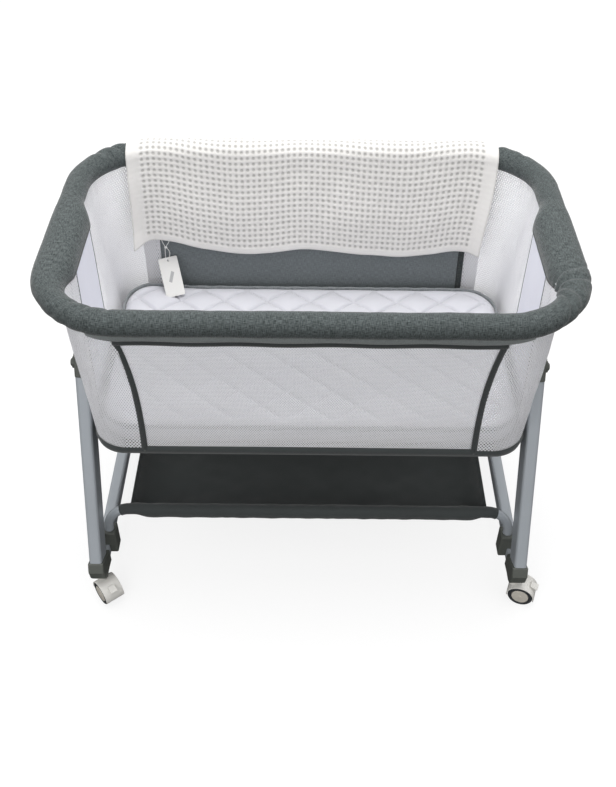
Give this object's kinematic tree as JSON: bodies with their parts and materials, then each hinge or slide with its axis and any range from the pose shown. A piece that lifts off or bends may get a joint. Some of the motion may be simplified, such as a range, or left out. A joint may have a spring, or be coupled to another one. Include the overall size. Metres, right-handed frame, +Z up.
{
  "type": "bassinet on stand",
  "caption": "Padded-rim bassinet with see-through mesh sides, quilted mattress and draped waffle blanket on a leaning, height-adjustable stand with a storage basket and hooded front casters.",
  "frame": {"origin": "on the floor, under the middle of the object: centre of its bounding box in plan, at the height the casters and glides stand on", "axes": "+Z up; +X to the right along the long rim; -Y is the front, the side whose mesh panel unzips; +Y is the back, where the blanket hangs"},
  "size_m": [0.9388, 0.6442, 0.7375],
  "materials": {
    "light_tube": "pale silver-grey powder coat",
    "dark_steel": "dark grey coated steel",
    "grey_plastic": "matt mid-grey moulded plastic",
    "light_plastic": "off-white moulded plastic",
    "caster_wheel": "off-white hub disc in a dark grey tread",
    "rubber": "black rubber",
    "grey_fabric": "dark grey melange linen-look fabric",
    "white_mesh": "white see-through polyester mesh",
    "dark_fabric": "charcoal woven polyester",
    "board": "fibreboard covered in charcoal cloth",
    "mattress_fabric": "white quilted knit",
    "waffle_cotton": "off-white waffle cotton",
    "card": "white card",
    "white_string": "white cotton string"
  },
  "bodies": {
    "stand": {"outer_leg_left": "light_tube", "collar_left": "grey_plastic", "front_foot_left": "grey_plastic", "base_bar_left": "light_tube", "rear_foot_left": "grey_plastic", "rear_glide_left": "rubber", "basket_socket_front_left": "grey_plastic", "basket_socket_rear_left": "grey_plastic", "outer_leg_right": "light_tube", "collar_right": "grey_plastic", "front_foot_right": "grey_plastic", "base_bar_right": "light_tube", "rear_foot_right": "grey_plastic", "rear_glide_right": "rubber", "basket_socket_front_right": "grey_plastic", "basket_socket_rear_right": "grey_plastic", "basket_tube_front": "light_tube", "basket_tube_rear": "light_tube", "storage_basket": "dark_fabric"},
    "upper_legs": {"inner_leg_left": "dark_steel", "leg_head_left": "grey_plastic", "inner_leg_right": "dark_steel", "leg_head_right": "grey_plastic"},
    "bassinet": {"rim_hub_left": "grey_plastic", "hub_pin_left": "dark_steel", "hub_cover_left": "grey_fabric", "mesh_end_left": "white_mesh", "zip_tape_left": "dark_fabric", "rim_hub_right": "grey_plastic", "hub_pin_right": "dark_steel", "hub_cover_right": "grey_fabric", "mesh_end_right": "white_mesh", "zip_tape_right": "dark_fabric", "rim_tube_front": "dark_steel", "rim_tube_rear": "dark_steel", "rim_pad_front": "grey_fabric", "rim_pad_rear": "grey_fabric", "front_skirt": "grey_fabric", "back_panel": "grey_fabric", "base_binding": "dark_fabric", "base_board": "board", "mattress": "mattress_fabric", "blanket": "waffle_cotton", "hang_tag": "card", "tag_string": "white_string"},
    "front_panel": {"front_mesh_panel": "white_mesh"},
    "button_left": {"height_button_left": "grey_plastic"},
    "caster_left": {"caster_hood_left": "light_plastic"},
    "wheels_left": {"caster_wheel_left_outer": "caster_wheel", "caster_wheel_left_inner": "caster_wheel", "caster_axle_left": "dark_steel"},
    "brake_left": {"brake_lever_left": "light_plastic"},
    "button_right": {"height_button_right": "grey_plastic"},
    "caster_right": {"caster_hood_right": "light_plastic"},
    "wheels_right": {"caster_wheel_right_outer": "caster_wheel", "caster_wheel_right_inner": "caster_wheel", "caster_axle_right": "dark_steel"},
    "brake_right": {"brake_lever_right": "light_plastic"}
  },
  "joints": [
    {"name": "height_adjust", "type": "slide", "parent": "stand", "child": "upper_legs", "axis": [0, 0.4035, 0.915], "range_m": [0, 0.12]},
    {"name": "bed_fold", "type": "hinge", "parent": "upper_legs", "child": "bassinet", "pos_m": [0, -0.009, 0.7], "axis": [1, 0, 0], "range_deg": [0, 50]},
    {"name": "front_panel_flap", "type": "hinge", "parent": "bassinet", "child": "front_panel", "pos_m": [0, -0.223, 0.3803], "axis": [1, 0, 0], "range_deg": [0, 170]},
    {"name": "height_button_left_press", "type": "slide", "parent": "stand", "child": "button_left", "axis": [1, 0, 0], "range_m": [0, 0.0035], "stiffness_N_per_m": 400},
    {"name": "caster_left_swivel", "type": "hinge", "parent": "stand", "child": "caster_left", "pos_m": [-0.4195, -0.27, 0.06], "axis": [0, 0, 1], "continuous": true},
    {"name": "caster_left_spin", "type": "hinge", "parent": "caster_left", "child": "wheels_left", "pos_m": [-0.40691, -0.28554, 0.025], "axis": [0.7771, 0.6293, 0], "continuous": true},
    {"name": "caster_left_brake", "type": "hinge", "parent": "caster_left", "child": "brake_left", "pos_m": [-0.39724, -0.29749, 0.04959], "axis": [0.7771, 0.6293, 0], "range_deg": [0, 14]},
    {"name": "height_button_right_press", "type": "slide", "parent": "stand", "child": "button_right", "axis": [-1, 0, 0], "range_m": [0, 0.0035], "stiffness_N_per_m": 400},
    {"name": "caster_right_swivel", "type": "hinge", "parent": "stand", "child": "caster_right", "pos_m": [0.4195, -0.27, 0.06], "axis": [0, 0, 1], "continuous": true},
    {"name": "caster_right_spin", "type": "hinge", "parent": "caster_right", "child": "wheels_right", "pos_m": [0.43829, -0.27684, 0.025], "axis": [0.342, 0.9397, 0], "continuous": true},
    {"name": "caster_right_brake", "type": "hinge", "parent": "caster_right", "child": "brake_right", "pos_m": [0.45273, -0.2821, 0.04959], "axis": [0.342, 0.9397, 0], "range_deg": [0, 14]}
  ]
}
